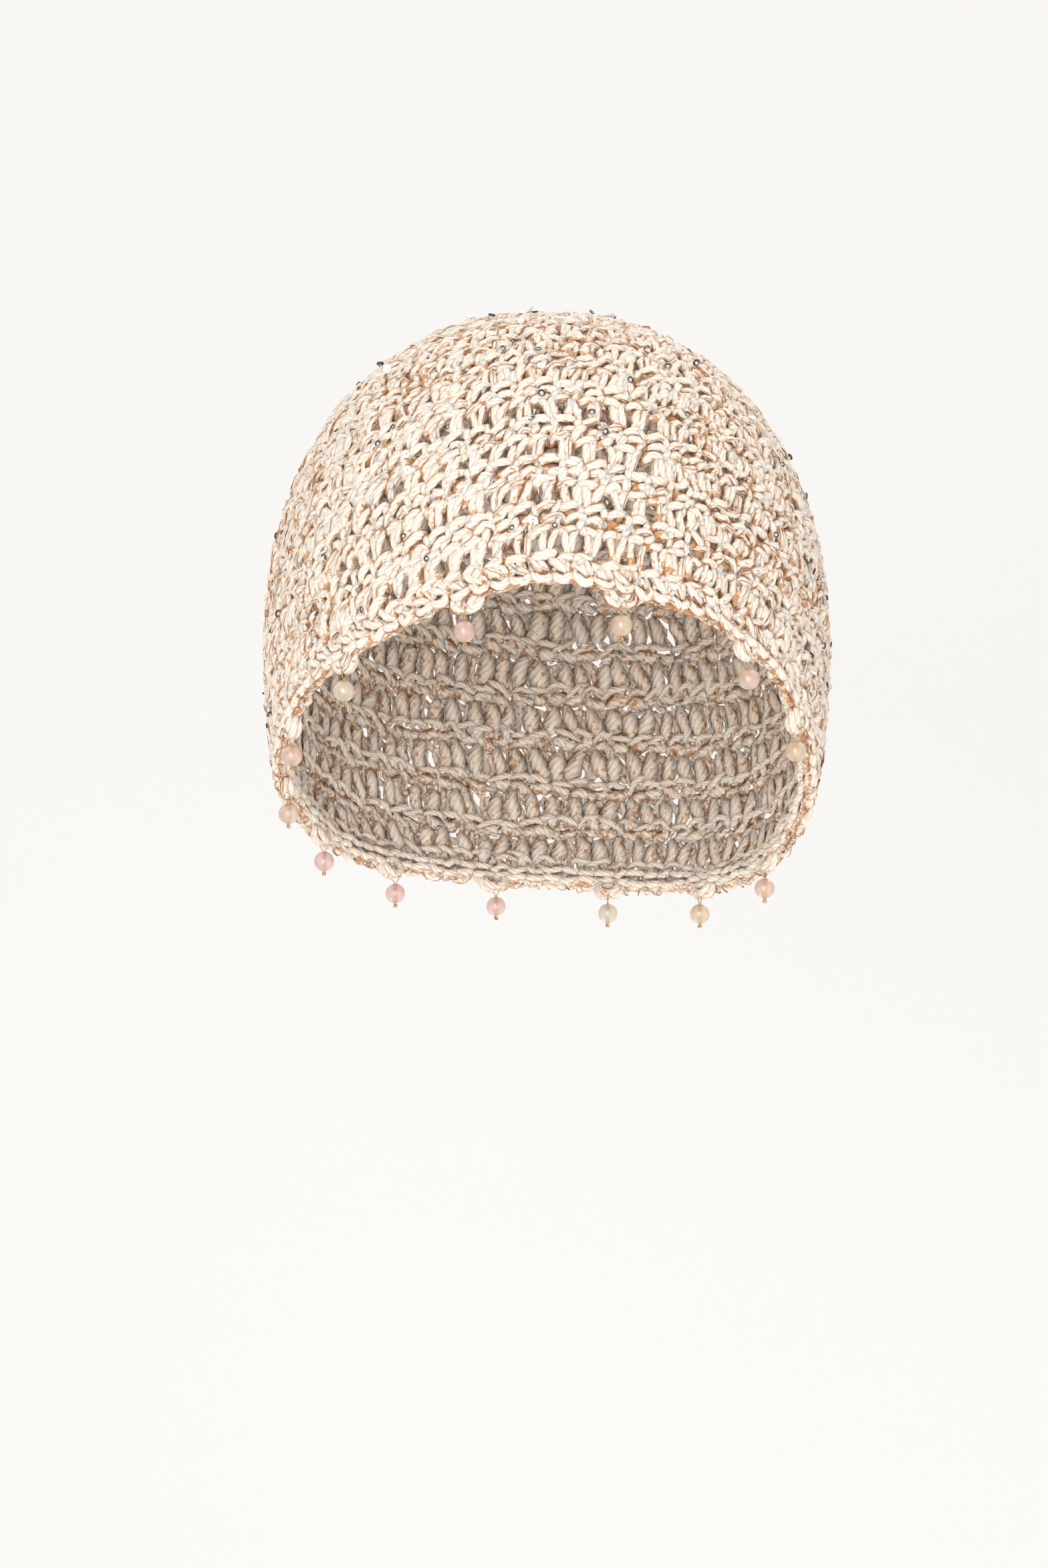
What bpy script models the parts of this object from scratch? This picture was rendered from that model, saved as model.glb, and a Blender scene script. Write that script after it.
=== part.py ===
"""Crochet hat, as an assembly of named solids.

A close-fitting hat crocheted in rounds of thick cream yarn, from a centre a little behind the top
down to the rim. The rim arches up at the front and runs low at the back. It ends in a chain
edging with picots, and one drilled stone bead hangs under each picot on a looped gold thread
that is knotted below the bead.

Metres, +Z up. The front faces -Y. The origin is the top of the hat's inside.
"""

import functools
import math

import bmesh
import bpy
import numpy as np
from mathutils import Matrix, Vector

# Outer form of the worn hat
HALF_WIDTH = 0.082
HALF_DEPTH = 0.101
HALF_HEIGHT = 0.100
SIDE_SQUARENESS = 2.25
FRONT_SQUARENESS = 2.5
BACK_FULLNESS = 0.03
CROWN_CENTRE_TILT = math.radians(22)
FABRIC = 0.005
FORM_CENTRE = Vector((0, 0, FABRIC - HALF_HEIGHT))

# How far the rim lies below the outer top, by the angle from the front towards +X
RIM = [
    # (degrees, drop)
    (0, 0.0815),
    (15, 0.0855),
    (30, 0.0920),
    (45, 0.1035),
    (60, 0.1195),
    (75, 0.1350),
    (105, 0.1580),
    (135, 0.1680),
    (180, 0.1680),
    (225, 0.1600),
    (255, 0.1460),
    (285, 0.1280),
    (300, 0.1160),
    (315, 0.1045),
    (330, 0.0960),
    (345, 0.0865),
]
RIM_SAMPLES = 720
MERIDIAN_SAMPLES = 90
PROBE_TURN = 0.002
PROBE_LENGTH = 0.002

# Crochet: each round is a row of open posts under a solid band
ROUNDS = 13
POST_ROW = 0.43
BAND = 0.93
RIB_RELIEF = 0.0010
CROWN_COLUMNS = 42

# Gaps between the posts of the front rounds, cut through
GAP_ROUNDS = 5
GAPS_PER_ROUND = 16
GAP_WIDTH = 0.0018
GAP_HEIGHT = 0.0048
GAP_CUT_DEPTH = 0.016

# Chain edging and its picots
CLEARANCE = 0.0003
EDGING_DIAMETER = 0.0056
RIM_STITCHES = 98
# Places round the rim, as shares of its length from the front towards +X
FRONT_PICOTS = [-0.2657, -0.1986, -0.1250, -0.0429, 0.0364, 0.1207, 0.1864]
FIRST_BACK_PICOT = 0.325
BACK_PICOTS = 6
PICOT_HALF_WIDTH = 0.0039
PICOT_HALF_DROP = 0.0026
PICOT_YARN = 0.0022
PICOT_REACH = 0.004
PICOT_POINTS = 8

# Beads and the gold threads that they hang on
BEAD_DIAMETER = 0.006
BEAD_HOLE = 0.0013
BEAD_SIDES = 10
BEAD_ARC_STEPS = 4
THREAD_DIAMETER = 0.0004
THREAD_SHOWN = 0.0013
STRAND_SPACING = 0.0005
LOOP_SPREAD = 0.0009
KNOT_DIAMETER = 0.0015


def clear_scene():
    for old in list(bpy.data.objects):
        bpy.data.objects.remove(old, do_unlink=True)


def new_collection(name):
    collection = bpy.data.collections.new(name)
    bpy.context.scene.collection.children.link(collection)
    return collection


def material(name, colour, roughness, metallic=0.0):
    made = bpy.data.materials.new(name)
    made.use_nodes = True
    shader = made.node_tree.nodes["Principled BSDF"]
    shader.inputs["Base Color"].default_value = (*colour, 1.0)
    shader.inputs["Roughness"].default_value = roughness
    shader.inputs["Metallic"].default_value = metallic
    return made


def new_object(name, mesh, collection, finish=None):
    made = bpy.data.objects.new(name, mesh)
    collection.objects.link(made)
    if finish:
        mesh.materials.append(finish)
    return made


def form_point(direction):
    """The point of the outer form that lies in this direction from its centre."""
    x, y, z = direction
    across = math.hypot(x, y)
    front_share = (y / across) ** 2 if across else 0.0
    squareness = SIDE_SQUARENESS + (FRONT_SQUARENESS - SIDE_SQUARENESS) * front_share
    level = math.hypot(x / HALF_WIDTH, y / HALF_DEPTH)
    reach = (level**squareness + abs(z / HALF_HEIGHT) ** squareness) ** (-1 / squareness)
    fuller = 1 + BACK_FULLNESS * y * reach / HALF_DEPTH
    return Vector((x * reach * fuller, y * reach, z * reach)) + FORM_CENTRE


def rim_drop(degrees):
    """The rim's drop at this angle, on a smooth closed curve through the rows of RIM."""
    degrees %= 360
    rows = RIM + [(RIM[0][0] + 360, RIM[0][1])]
    count = len(RIM)
    index = max(i for i in range(count) if rows[i][0] <= degrees)
    before = RIM[index - 1]
    here, after = rows[index], rows[index + 1]
    beyond = RIM[(index + 2) % count]
    span = after[0] - here[0]
    slope_here = (after[1] - before[1]) / (span + (here[0] - before[0]) % 360)
    slope_after = (beyond[1] - here[1]) / (span + (beyond[0] - after[0]) % 360)
    t = (degrees - here[0]) / span
    return (
        (2 * t**3 - 3 * t**2 + 1) * here[1]
        + (t**3 - 2 * t**2 + t) * span * slope_here
        + (3 * t**2 - 2 * t**3) * after[1]
        + (t**3 - t**2) * span * slope_after
    )


def rim_direction(degrees):
    """The direction from the form's centre to the rim's edge at this angle."""
    angle = math.radians(degrees)
    across = Vector((math.sin(angle), -math.cos(angle), 0))
    height = FABRIC - rim_drop(degrees) - FORM_CENTRE.z
    front_share = math.cos(angle) ** 2
    squareness = SIDE_SQUARENESS + (FRONT_SQUARENESS - SIDE_SQUARENESS) * front_share
    spread = math.hypot(across.x / HALF_WIDTH, across.y / HALF_DEPTH)
    reach = (1 - abs(height / HALF_HEIGHT) ** squareness) ** (1 / squareness) / spread
    return (across * reach + Vector((0, 0, height))).normalized()


@functools.lru_cache(maxsize=None)
def rim_lengths():
    """Angles round the rim and the length of rim up to each."""
    degrees = np.linspace(0, 360, RIM_SAMPLES + 1)
    points = np.array([form_point(rim_direction(value)) for value in degrees])
    steps = np.linalg.norm(np.diff(points, axis=0), axis=1)
    return degrees, np.concatenate([[0], np.cumsum(steps)])


def rim_angle(turn):
    """The angle at this share of the rim's length, from the front and round by +X."""
    degrees, lengths = rim_lengths()
    return float(np.interp(turn % 1.0 * lengths[-1], lengths, degrees))


@functools.lru_cache(maxsize=None)
def meridian(turn):
    """Points down the fabric from the crown's centre to the rim, and the length to each."""
    start = Vector((0, math.sin(CROWN_CENTRE_TILT), math.cos(CROWN_CENTRE_TILT)))
    end = rim_direction(rim_angle(turn))
    points = np.array(
        [form_point(start.slerp(end, share)) for share in np.linspace(0, 1, MERIDIAN_SAMPLES)]
    )
    steps = np.linalg.norm(np.diff(points, axis=0), axis=1)
    return points, np.concatenate([[0], np.cumsum(steps)])


def rim_length(turn):
    """From the crown's centre down to the rim's edge."""
    return meridian(turn)[1][-1]


def fabric_point(turn, distance):
    points, lengths = meridian(turn)
    return Vector([float(np.interp(distance, lengths, points[:, axis])) for axis in range(3)])


def fabric_frame(turn, distance):
    """A point of the fabric's outside, with the ways along the round, down and out."""
    point = fabric_point(turn, distance)
    down = (point - fabric_point(turn, distance - PROBE_LENGTH)).normalized()
    share = distance / rim_length(turn)
    ahead = (turn + PROBE_TURN) % 1.0
    behind = (turn - PROBE_TURN) % 1.0
    along = fabric_point(ahead, share * rim_length(ahead))
    along -= fabric_point(behind, share * rim_length(behind))
    out = down.cross(along).normalized()
    return point, out.cross(down), down, out


@functools.lru_cache(maxsize=None)
def rim_ways(turn):
    """The ways along the rim, square to it down the fabric, and out, and its slant."""
    _, _, down, out = fabric_frame(turn, rim_length(turn))
    ahead = (turn + PROBE_TURN) % 1.0
    behind = (turn - PROBE_TURN) % 1.0
    along = fabric_point(ahead, rim_length(ahead)) - fabric_point(behind, rim_length(behind))
    square = along.cross(out).normalized()
    return along.normalized(), square, out, square.dot(down)


def length_above_rim(turn, height):
    """From the crown's centre down to this height above the rim, measured square to it."""
    slant = rim_ways(turn)[3]
    return rim_length(turn) - height / slant


def crown_length(turn):
    """From the crown's centre down to the edge that the edging is worked on."""
    return length_above_rim(turn, EDGING_DIAMETER + CLEARANCE)


def crown_surface():
    """The outside of the crown, ribbed by its rounds, as one open sheet."""
    heights = [(row + 1 - part) / ROUNDS for row in range(ROUNDS) for part in (BAND, POST_ROW)]
    shares = [0.0] + sorted(heights) + [1.0]
    sheet = bmesh.new()
    bmesh.ops.create_grid(
        sheet, x_segments=CROWN_COLUMNS, y_segments=len(shares) - 1, size=1.0
    )
    for corner in sheet.verts:
        turn = round((corner.co.x + 1) / 2 * CROWN_COLUMNS) % CROWN_COLUMNS / CROWN_COLUMNS
        row = round((corner.co.y + 1) / 2 * (len(shares) - 1))
        distance = shares[row] * crown_length(turn)
        if row == 0:
            corner.co = fabric_point(turn, 0.0)
            continue
        point, _, _, out = fabric_frame(turn, distance)
        is_band = row % 2 and row < len(shares) - 1
        corner.co = point + out * (RIB_RELIEF if is_band else -RIB_RELIEF)
    bmesh.ops.remove_doubles(sheet, verts=sheet.verts, dist=0.00001)
    bmesh.ops.recalc_face_normals(sheet, faces=sheet.faces)
    middle = sheet.faces[len(sheet.faces) // 2]
    if middle.normal.dot(middle.calc_center_median() - FORM_CENTRE) < 0:
        bmesh.ops.reverse_faces(sheet, faces=sheet.faces)
    mesh = bpy.data.meshes.new("crown")
    sheet.to_mesh(mesh)
    sheet.free()
    return mesh


def gap_cutters():
    """One upright slot between each pair of posts across the front rounds."""
    blocks = bmesh.new()
    for row in range(GAP_ROUNDS):
        for place in range(GAPS_PER_ROUND):
            turn = (place + 0.5 * (row % 2) - (GAPS_PER_ROUND - 1) / 2) / RIM_STITCHES % 1.0
            distance = (1 - (row + POST_ROW) / ROUNDS) * crown_length(turn)
            point, along, down, out = fabric_frame(turn, distance)
            place_in_wall = Matrix.Translation(point - out * FABRIC / 2)
            turned = Matrix((along, down, out)).transposed().to_4x4()
            sizes = Matrix.Diagonal((GAP_WIDTH, GAP_HEIGHT, GAP_CUT_DEPTH, 1))
            bmesh.ops.create_cube(blocks, size=1.0, matrix=place_in_wall @ turned @ sizes)
    bmesh.ops.recalc_face_normals(blocks, faces=blocks.faces)
    mesh = bpy.data.meshes.new("stitch_gaps")
    blocks.to_mesh(mesh)
    blocks.free()
    return mesh


def add_crown(collection, cutters, finish):
    crown = new_object("crown", crown_surface(), collection, finish)
    wall = crown.modifiers.new("wall", "SOLIDIFY")
    wall.thickness = FABRIC
    wall.offset = -1
    wall.use_even_offset = True
    gaps = new_object("stitch_gaps", gap_cutters(), cutters)
    gaps.hide_render = True
    gaps.display_type = "WIRE"
    cut = crown.modifiers.new("gaps", "BOOLEAN")
    cut.operation = "DIFFERENCE"
    cut.object = gaps
    return crown


def tube(name, loops, diameter, sides_step, closed, collection):
    """A round yarn or thread through each loop of points, as one mesh object."""
    curve = bpy.data.curves.new(name, "CURVE")
    curve.dimensions = "3D"
    curve.bevel_depth = diameter / 2
    curve.bevel_resolution = sides_step
    curve.use_fill_caps = not closed
    for points in loops:
        spline = curve.splines.new("POLY")
        spline.points.add(len(points) - 1)
        for control, point in zip(spline.points, points):
            control.co = (*point, 1.0)
        spline.use_cyclic_u = closed
    guide = bpy.data.objects.new(name, curve)
    collection.objects.link(guide)
    bpy.context.view_layer.update()
    evaluated = guide.evaluated_get(bpy.context.evaluated_depsgraph_get())
    mesh = bpy.data.meshes.new_from_object(evaluated)
    welded = bmesh.new()
    welded.from_mesh(mesh)
    bmesh.ops.remove_doubles(welded, verts=welded.verts, dist=0.000001)
    bmesh.ops.recalc_face_normals(welded, faces=welded.faces)
    welded.to_mesh(mesh)
    welded.free()
    place = guide.matrix_world.copy()
    bpy.data.objects.remove(guide, do_unlink=True)
    bpy.data.curves.remove(curve)
    made = new_object(name, mesh, collection)
    made.matrix_world = place
    return made


def edging_frame(turn):
    """The middle of the edging's yarn, with the ways along the rim and square to it."""
    along, square, out, _ = rim_ways(turn)
    point = fabric_point(turn, length_above_rim(turn, EDGING_DIAMETER / 2))
    return point - out * FABRIC / 2, along, square


def picot_ring(turn):
    """The middle line of one picot, its sideways and downward radii, and its centre."""
    middle, along, down = edging_frame(turn)
    lowest = EDGING_DIAMETER / 2 + PICOT_REACH - PICOT_YARN / 2
    centre = middle + down * (lowest - PICOT_HALF_DROP)
    return centre, along * PICOT_HALF_WIDTH, down * PICOT_HALF_DROP


def picot_turns():
    """The picots of the front, and then those of the back, evenly spaced up to the first."""
    step = (FRONT_PICOTS[0] + 1 - FIRST_BACK_PICOT) / BACK_PICOTS
    return FRONT_PICOTS + [FIRST_BACK_PICOT + step * index for index in range(BACK_PICOTS)]


def add_edging(collection, cutters, finish):
    columns = [column / CROWN_COLUMNS for column in range(CROWN_COLUMNS)]
    rim = [edging_frame(turn)[0] for turn in columns]
    edging = tube("edging", [rim], EDGING_DIAMETER, 2, True, collection)
    edging.data.materials.append(finish)
    rings = []
    for turn in picot_turns():
        centre, across, drop = picot_ring(turn)
        angles = [2 * math.pi * step / PICOT_POINTS for step in range(PICOT_POINTS)]
        rings.append([centre + across * math.sin(a) + drop * math.cos(a) for a in angles])
    picots = tube("picots", rings, PICOT_YARN, 1, True, cutters)
    picots.hide_render = True
    picots.display_type = "WIRE"
    joined = edging.modifiers.new("picots", "BOOLEAN")
    joined.operation = "UNION"
    joined.object = picots
    return edging


def lowest_of_picot(turn):
    """The lowest point of a picot's middle line, and the level way along its yarn there."""
    centre, across, drop = picot_ring(turn)
    pull = Vector((across.z, drop.z)).normalized()
    point = centre - across * pull.x - drop * pull.y
    level_way = across * pull.y - drop * pull.x
    return point, Vector((level_way.x, level_way.y, 0)).normalized()


def bead_profile():
    """Half a section of the bead: down its round outside and up its hole."""
    first = math.asin(BEAD_HOLE / BEAD_DIAMETER)
    radius = BEAD_DIAMETER / 2
    profile = bmesh.new()
    corners = []
    for step in range(BEAD_ARC_STEPS + 1):
        angle = first + (math.pi - 2 * first) * step / BEAD_ARC_STEPS
        corners.append(
            profile.verts.new((radius * math.sin(angle), 0, radius * math.cos(angle)))
        )
    for start, end in zip(corners, corners[1:] + corners[:1]):
        profile.edges.new((start, end))
    mesh = bpy.data.meshes.new("bead")
    profile.to_mesh(mesh)
    profile.free()
    return mesh


def bead_place(turn):
    point, _ = lowest_of_picot(turn)
    return point - Vector((0, 0, PICOT_YARN / 2 + THREAD_SHOWN + BEAD_DIAMETER / 2))


def add_beads(collection, finish):
    profile = bead_profile()
    profile.materials.append(finish)
    for number, turn in enumerate(picot_turns(), 1):
        bead = new_object(f"bead_{number:02d}", profile, collection)
        bead.location = bead_place(turn)
        lathe = bead.modifiers.new("turned", "SCREW")
        lathe.steps = BEAD_SIDES
        lathe.render_steps = BEAD_SIDES


def thread_loop(turn):
    """The gold thread: up through the bead, over the picot's yarn and down again."""
    top, level_way = lowest_of_picot(turn)
    up = Vector((0, 0, 1))
    outward = level_way.cross(up)
    bead = bead_place(turn)
    around = PICOT_YARN / 2 + THREAD_DIAMETER / 2 + CLEARANCE
    mouth = bead + up * math.sqrt(BEAD_DIAMETER**2 - BEAD_HOLE**2) / 2
    knot = knot_place(turn)
    side = outward * STRAND_SPACING / 2
    spread = level_way * LOOP_SPREAD
    half_way = (outward + up) * (around * math.sqrt(0.5))
    back_half_way = (up - outward) * (around * math.sqrt(0.5))
    return [
        knot + side,
        mouth + side,
        top + outward * around + spread,
        top + half_way + spread / 2,
        top + up * around,
        top + back_half_way - spread / 2,
        top - outward * around - spread,
        mouth - side,
        knot - side,
    ]


def knot_place(turn):
    """The knot nests in the lower mouth of the bead's hole, clear of its rim."""
    lower_mouth = math.sqrt(BEAD_DIAMETER**2 - BEAD_HOLE**2) / 2
    to_rim = KNOT_DIAMETER / 2 + CLEARANCE
    drop = lower_mouth + math.sqrt(to_rim**2 - (BEAD_HOLE / 2) ** 2)
    return bead_place(turn) - Vector((0, 0, drop))


def add_threads(collection, cutters, finish):
    for number, turn in enumerate(picot_turns(), 1):
        thread = tube(
            f"bead_thread_{number:02d}", [thread_loop(turn)], THREAD_DIAMETER, 0, False, collection
        )
        thread.data.materials.append(finish)
        ball = bmesh.new()
        bmesh.ops.create_icosphere(ball, subdivisions=1, radius=KNOT_DIAMETER / 2)
        mesh = bpy.data.meshes.new("knot")
        ball.to_mesh(mesh)
        ball.free()
        knot = new_object(f"knot_{number:02d}", mesh, cutters)
        knot.location = knot_place(turn)
        knot.hide_render = True
        knot.display_type = "WIRE"
        joined = thread.modifiers.new("knot", "BOOLEAN")
        joined.operation = "UNION"
        joined.object = knot


def build():
    clear_scene()
    hat = new_collection("crochet_hat")
    cutters = new_collection("cutters")
    yarn = material("crochet_yarn", (0.82, 0.72, 0.59), 0.85)
    edging_yarn = material("edging_yarn", (0.86, 0.77, 0.65), 0.8)
    stone = material("rose_quartz", (0.80, 0.58, 0.50), 0.25)
    gold = material("gold_thread", (0.75, 0.50, 0.22), 0.35, 1.0)
    add_crown(hat, cutters, yarn)
    add_edging(hat, cutters, edging_yarn)
    add_beads(hat, stone)
    add_threads(hat, cutters, gold)


build()
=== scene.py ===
"""Crochet hat: every stitch, metallic thread, sequin and bead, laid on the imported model.

Metres, +Z up, in the model's own frame: the front faces -Y and the origin is the top of the
hat's inside. A stitch is drawn in millimetres on flat fabric and then laid on the hat's form.
"""

import math

import bpy
import numpy as np
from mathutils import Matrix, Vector


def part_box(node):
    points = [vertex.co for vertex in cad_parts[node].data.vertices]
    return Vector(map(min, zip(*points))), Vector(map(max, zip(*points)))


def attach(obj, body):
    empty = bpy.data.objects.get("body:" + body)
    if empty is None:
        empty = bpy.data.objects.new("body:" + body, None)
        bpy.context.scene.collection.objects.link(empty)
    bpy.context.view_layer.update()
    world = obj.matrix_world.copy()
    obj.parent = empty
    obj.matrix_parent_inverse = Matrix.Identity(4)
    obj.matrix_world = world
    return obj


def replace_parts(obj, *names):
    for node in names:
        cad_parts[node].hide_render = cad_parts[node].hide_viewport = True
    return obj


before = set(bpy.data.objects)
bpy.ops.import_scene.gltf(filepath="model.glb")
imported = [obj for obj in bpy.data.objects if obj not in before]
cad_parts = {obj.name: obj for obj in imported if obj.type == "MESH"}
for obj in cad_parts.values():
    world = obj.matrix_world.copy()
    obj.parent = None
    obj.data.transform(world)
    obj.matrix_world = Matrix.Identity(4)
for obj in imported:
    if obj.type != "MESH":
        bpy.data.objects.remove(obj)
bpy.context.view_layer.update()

BODY = "root"
MM = 0.001


# The crown. One soft wall of crochet: rounds of tall stitches in plied cotton yarn, worked from a
# centre a little behind the top down to the rim, which arches up at the front and runs low at the
# back.
HALF_WIDTH = 0.082
HALF_DEPTH = 0.101
HALF_HEIGHT = 0.100
SIDE_SQUARENESS = 2.25
FRONT_SQUARENESS = 2.5
BACK_FULLNESS = 0.03
CROWN_CENTRE_TILT = math.radians(22)
FABRIC = 0.005
FORM_CENTRE = np.array([0, 0, FABRIC - HALF_HEIGHT])
RIM = np.array([
    # degrees from the front towards +X, drop of the rim below the outer top
    (0, 0.0815),
    (15, 0.0855),
    (30, 0.0920),
    (45, 0.1035),
    (60, 0.1195),
    (75, 0.1350),
    (105, 0.1580),
    (135, 0.1680),
    (180, 0.1680),
    (225, 0.1600),
    (255, 0.1460),
    (285, 0.1280),
    (300, 0.1160),
    (315, 0.1045),
    (330, 0.0960),
    (345, 0.0865),
])
EDGING_HEIGHT = 0.0056
CLEARANCE = 0.0003
COLUMNS = 720
LEVELS = 320


def unit(vectors):
    """These vectors at length 1."""
    return vectors / np.linalg.norm(vectors, axis=-1, keepdims=True)


def squareness(front_share):
    """How square the form is, from 0 at its sides to 1 at its front and back."""
    return SIDE_SQUARENESS + (FRONT_SQUARENESS - SIDE_SQUARENESS) * front_share


def form_points(ways):
    """The points of the outer form that lie these ways from its centre."""
    x, y, z = ways[..., 0], ways[..., 1], ways[..., 2]
    power = squareness(y**2 / np.maximum(x**2 + y**2, 1e-12))
    level = np.hypot(x / HALF_WIDTH, y / HALF_DEPTH)
    reach = (level**power + np.abs(z / HALF_HEIGHT) ** power) ** (-1 / power)
    fuller = 1 + BACK_FULLNESS * y * reach / HALF_DEPTH
    return np.stack([x * reach * fuller, y * reach, z * reach], axis=-1) + FORM_CENTRE


def rim_drops(degrees):
    """The rim's drop, on a smooth closed curve through the rows of RIM."""
    angles, drops = RIM[:, 0], RIM[:, 1]
    spans = np.diff(np.append(angles, angles[0] + 360))
    slopes = (np.roll(drops, -1) - np.roll(drops, 1)) / (spans + np.roll(spans, 1))
    here = np.searchsorted(angles, degrees % 360, side="right") - 1
    after = (here + 1) % len(RIM)
    t = (degrees % 360 - angles[here]) / spans[here]
    return (
        (2 * t**3 - 3 * t**2 + 1) * drops[here]
        + (t**3 - 2 * t**2 + t) * spans[here] * slopes[here]
        + (3 * t**2 - 2 * t**3) * drops[after]
        + (t**3 - t**2) * spans[here] * slopes[after]
    )


def ways_to_rim(degrees):
    """The ways from the form's centre to the rim's edge."""
    angle = np.radians(degrees)
    x, y = np.sin(angle), -np.cos(angle)
    height = FABRIC - rim_drops(degrees) - FORM_CENTRE[2]
    power = squareness(y**2)
    reach = (1 - np.abs(height / HALF_HEIGHT) ** power) ** (1 / power)
    reach = reach / np.hypot(x / HALF_WIDTH, y / HALF_DEPTH)
    return unit(np.stack([x * reach, y * reach, height], axis=-1))


# The fabric's outside is kept as a grid. Its columns run round the hat in equal lengths of rim
# from the front (turn 0 to 1), and its levels run from the crown's centre (0) to the rim's edge (1).
degrees_round = np.linspace(0, 360, COLUMNS + 1)
rim_steps = np.linalg.norm(np.diff(form_points(ways_to_rim(degrees_round)), axis=0), axis=1)
rim_lengths = np.concatenate([[0], np.cumsum(rim_steps)])
column_lengths = np.arange(COLUMNS) / COLUMNS * rim_lengths[-1]
column_degrees = np.interp(column_lengths, rim_lengths, degrees_round)
centre_way = np.array([0, math.sin(CROWN_CENTRE_TILT), math.cos(CROWN_CENTRE_TILT)])
edge_ways = ways_to_rim(column_degrees)[:, None, :]
bow = np.arccos(edge_ways @ centre_way)[..., None]
down_share = np.linspace(0, 1, LEVELS)
swing = down_share[None, :, None]
meridian_ways = (np.sin((1 - swing) * bow) * centre_way + np.sin(swing * bow) * edge_ways) / np.sin(bow)
meridians = form_points(meridian_ways)
lengths_down = np.cumsum(np.linalg.norm(np.diff(meridians, axis=1), axis=2), axis=1)
lengths_down = np.concatenate([np.zeros((COLUMNS, 1)), lengths_down], axis=1)
meridian_length = lengths_down[:, -1]
outside = np.stack([
    np.stack([np.interp(down_share * span[-1], span, line[:, axis]) for axis in range(3)], axis=1)
    for span, line in zip(lengths_down, meridians)
])
way_along = np.roll(outside, -1, axis=0) - np.roll(outside, 1, axis=0)
way_along[:, 0] = way_along[:, 1]
way_down = unit(np.gradient(outside, axis=1))
way_out = unit(np.cross(way_down, way_along))
column_spacing = np.linalg.norm(outside - np.roll(outside, 1, axis=0), axis=2)
round_lengths = column_spacing.sum(axis=0)
rim_along = unit(way_along[:, -1])
rim_square = unit(np.cross(rim_along, way_out[:, -1]))
rim_slant = (rim_square * way_down[:, -1]).sum(axis=1)
crown_share = 1 - (EDGING_HEIGHT + CLEARANCE) / rim_slant / meridian_length


def read_round(values, turn):
    """Values kept for each column, read at any turn."""
    place = turn % 1.0 * COLUMNS
    low = np.floor(place).astype(int)
    part = (place - low).reshape(place.shape + (1,) * (values.ndim - 1))
    return values[low % COLUMNS] * (1 - part) + values[(low + 1) % COLUMNS] * part


def on_fabric(turn, level, height):
    """Points at this height over the fabric's outside, and the way out there."""
    place = turn % 1.0 * COLUMNS
    left = np.floor(place).astype(int)
    depth = np.clip(level, 0, 1) * (LEVELS - 1)
    top = np.minimum(np.floor(depth).astype(int), LEVELS - 2)
    across = (place - left)[..., None]
    down = (depth - top)[..., None]
    left, right = left % COLUMNS, (left + 1) % COLUMNS

    def blend(grid):
        upper = grid[left, top] * (1 - across) + grid[right, top] * across
        lower = grid[left, top + 1] * (1 - across) + grid[right, top + 1] * across
        return upper * (1 - down) + lower * down

    out = unit(blend(way_out))
    return blend(outside) + out * height[..., None], out


# A strand of yarn is a closed tube of four to six sides, a little flat where it lies on the fabric, and
# it swells from its pulled ends to its middle. All strands of a kind are made in one sweep, and each
# point keeps how deep in the wall it lies, which the yarn's material turns into painted shade in the
# deep places and on the flanks.
YARN_SIDES = 6
PULLED_END = 0.55
SWELL_POWER = 0.6
FLANK_SHADE = 0.65
FACE_SHADE = 1.1
INNER_SHADE = 0.3
FLANK_PAINTED_SHADE = 0.06
OUTER_FADE = 0.46
INNER_FADE = 0.8


def smooth_path(rows, steps):
    """Points on a smooth curve through each path's rows, the same number for every path."""
    before = 2 * rows[:, :1] - rows[:, 1:2]
    after = 2 * rows[:, -1:] - rows[:, -2:-1]
    ends = np.concatenate([before, rows, after], axis=1)
    place = np.linspace(0, rows.shape[1] - 1, steps)
    first = np.minimum(place.astype(int), rows.shape[1] - 2)
    t = (place - first)[None, :, None]
    a, b, c, d = (ends[:, first + shift] for shift in range(4))
    return 0.5 * (
        2 * b + (c - a) * t + (2 * a - 5 * b + 4 * c - d) * t**2 + (3 * b - a - 3 * c + d) * t**3
    )


def strand(centres, out, width, thickness, height, ends=PULLED_END):
    """A set of strands along these middle lines, flat side out: (paths, steps, 3)."""
    run = unit(np.gradient(centres, axis=1))
    across = unit(np.cross(run, out))
    place = np.linspace(0, 1, centres.shape[1])
    swell = ends + (1 - ends) * np.sin(math.pi * place) ** SWELL_POWER
    return {
        "centres": centres,
        "across": across,
        "over": np.cross(across, run),
        "half_width": np.broadcast_to(width * swell / 2, centres.shape[:2]),
        "half_thick": np.broadcast_to(thickness * swell / 2, centres.shape[:2]),
        "height": np.broadcast_to(height, centres.shape[:2]),
    }


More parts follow.
